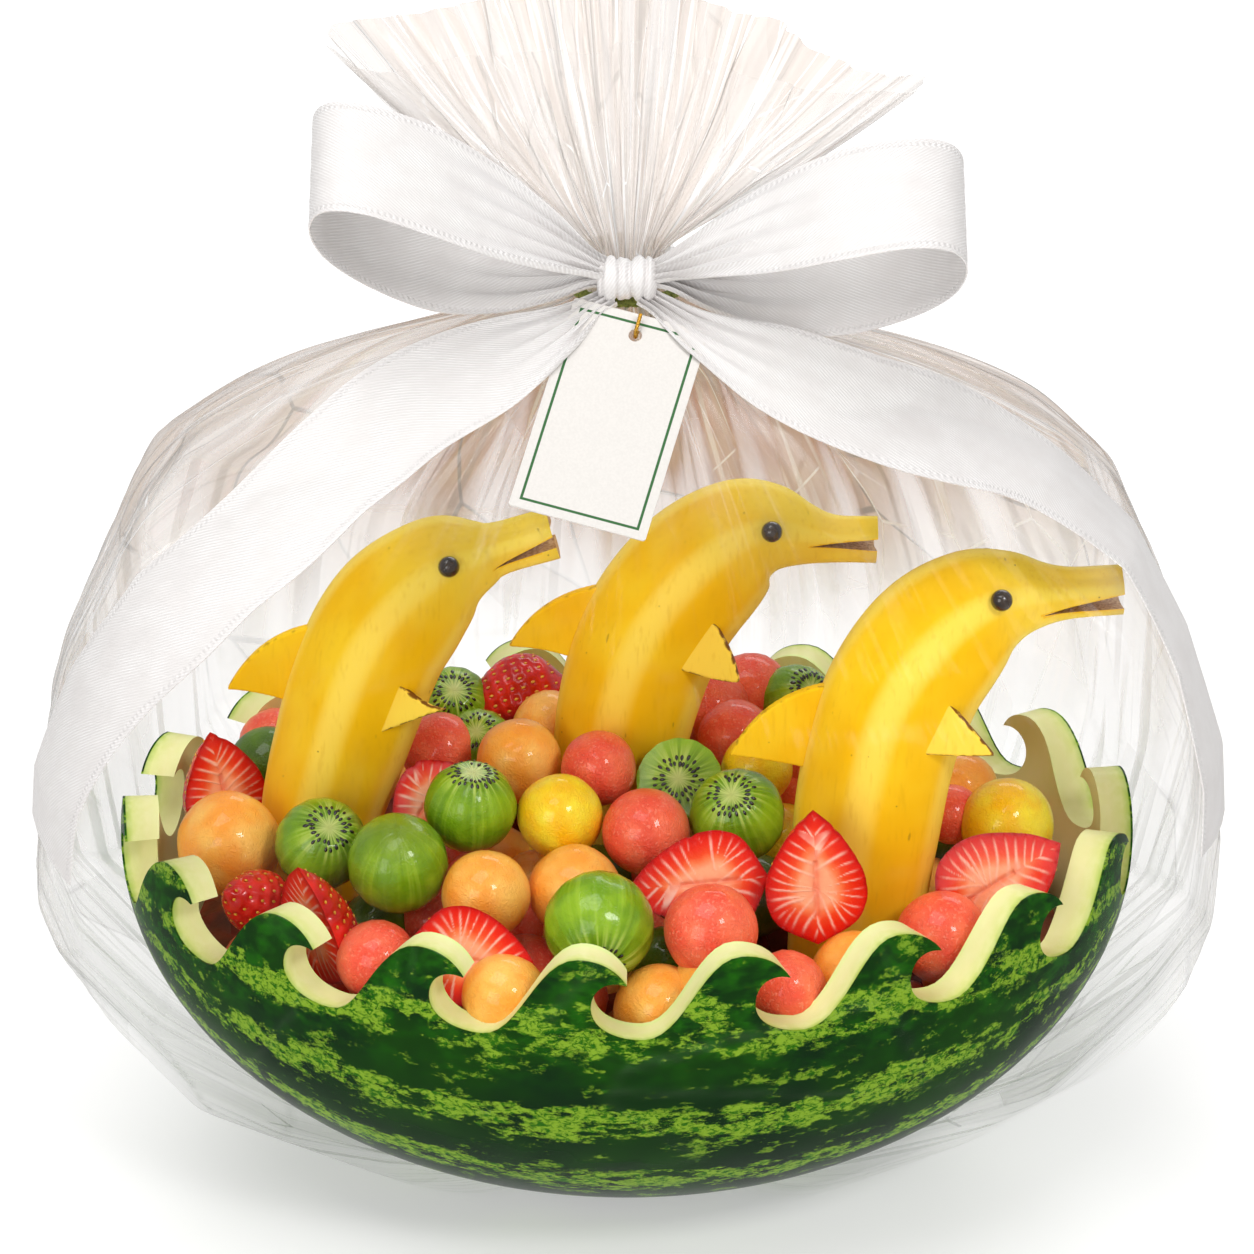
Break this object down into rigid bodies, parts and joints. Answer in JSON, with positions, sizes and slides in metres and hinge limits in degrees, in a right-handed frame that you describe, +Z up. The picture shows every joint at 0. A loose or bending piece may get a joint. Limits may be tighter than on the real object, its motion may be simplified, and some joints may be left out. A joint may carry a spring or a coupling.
{
  "type": "carved watermelon fruit boat",
  "caption": "Watermelon half with a wave-cut rim, heaped with melon balls, kiwi and strawberries and leaping banana dolphins, gathered in clear film with a ribbon bow and tag.",
  "frame": {"origin": "under the middle of the wrap, on the surface it stands on", "axes": "+X along the melon, the way the dolphins leap; -Y is the shown front; +Z up"},
  "size_m": [0.3221, 0.238, 0.334],
  "materials": {
    "rind": "waxy dark green skin with jagged paler stripes, pale cut rim",
    "heap": "moist cut fruit",
    "banana": "satin yellow peel with brown freckles",
    "clove": "dark brown, glossy",
    "cantaloupe": "moist orange flesh",
    "watermelon": "moist pink-red flesh",
    "yellow_melon": "moist yellow flesh",
    "honeydew": "moist green flesh",
    "kiwi": "moist green flesh with seeds and a pale core",
    "strawberry": "glossy red skin, white-rayed cut face",
    "film": "clear crinkled film",
    "satin": "white satin with a fine diagonal weave",
    "tie": "matt olive-green covered wire",
    "card": "uncoated white card with a thin green border",
    "gold": "metallic gold cord"
  },
  "bodies": {
    "root": {"melon_shell": "rind", "fruit_bed": "heap", "dolphin_1_body": "banana", "dolphin_1_dorsal": "banana", "dolphin_1_flipper_near": "banana", "dolphin_1_flipper_far": "banana", "dolphin_1_eye_near": "clove", "dolphin_1_eye_far": "clove", "dolphin_2_body": "banana", "dolphin_2_dorsal": "banana", "dolphin_2_flipper_near": "banana", "dolphin_2_flipper_far": "banana", "dolphin_2_eye_near": "clove", "dolphin_2_eye_far": "clove", "dolphin_3_body": "banana", "dolphin_3_dorsal": "banana", "dolphin_3_flipper_near": "banana", "dolphin_3_flipper_far": "banana", "dolphin_3_eye_near": "clove", "dolphin_3_eye_far": "clove", "strawberry_half_1": "strawberry", "cantaloupe_ball_1": "cantaloupe", "honeydew_ball_1": "honeydew", "strawberry_1": "strawberry", "strawberry_half_2": "strawberry", "kiwi_ball_1": "kiwi", "kiwi_ball_2": "kiwi", "strawberry_half_3": "strawberry", "cantaloupe_ball_2": "cantaloupe", "kiwi_ball_3": "kiwi", "yellow_melon_ball_1": "yellow_melon", "watermelon_ball_1": "watermelon", "cantaloupe_ball_3": "cantaloupe", "cantaloupe_ball_4": "cantaloupe", "strawberry_half_4": "strawberry", "kiwi_ball_4": "kiwi", "watermelon_ball_2": "watermelon", "kiwi_ball_5": "kiwi", "kiwi_ball_6": "kiwi", "yellow_melon_ball_2": "yellow_melon", "strawberry_half_5": "strawberry", "watermelon_ball_3": "watermelon", "strawberry_half_6": "strawberry", "cantaloupe_ball_5": "cantaloupe", "cantaloupe_ball_6": "cantaloupe", "watermelon_ball_4": "watermelon", "strawberry_half_7": "strawberry", "yellow_melon_ball_3": "yellow_melon", "strawberry_2": "strawberry", "watermelon_ball_5": "watermelon", "watermelon_ball_6": "watermelon", "film_wrap": "film", "neck_tie": "tie", "ribbon_knot": "satin", "ribbon_loop_left": "satin", "ribbon_loop_right": "satin", "ribbon_tail_left": "satin", "ribbon_tail_right": "satin", "tag": "card", "tag_cord": "gold"}
  },
  "joints": []
}
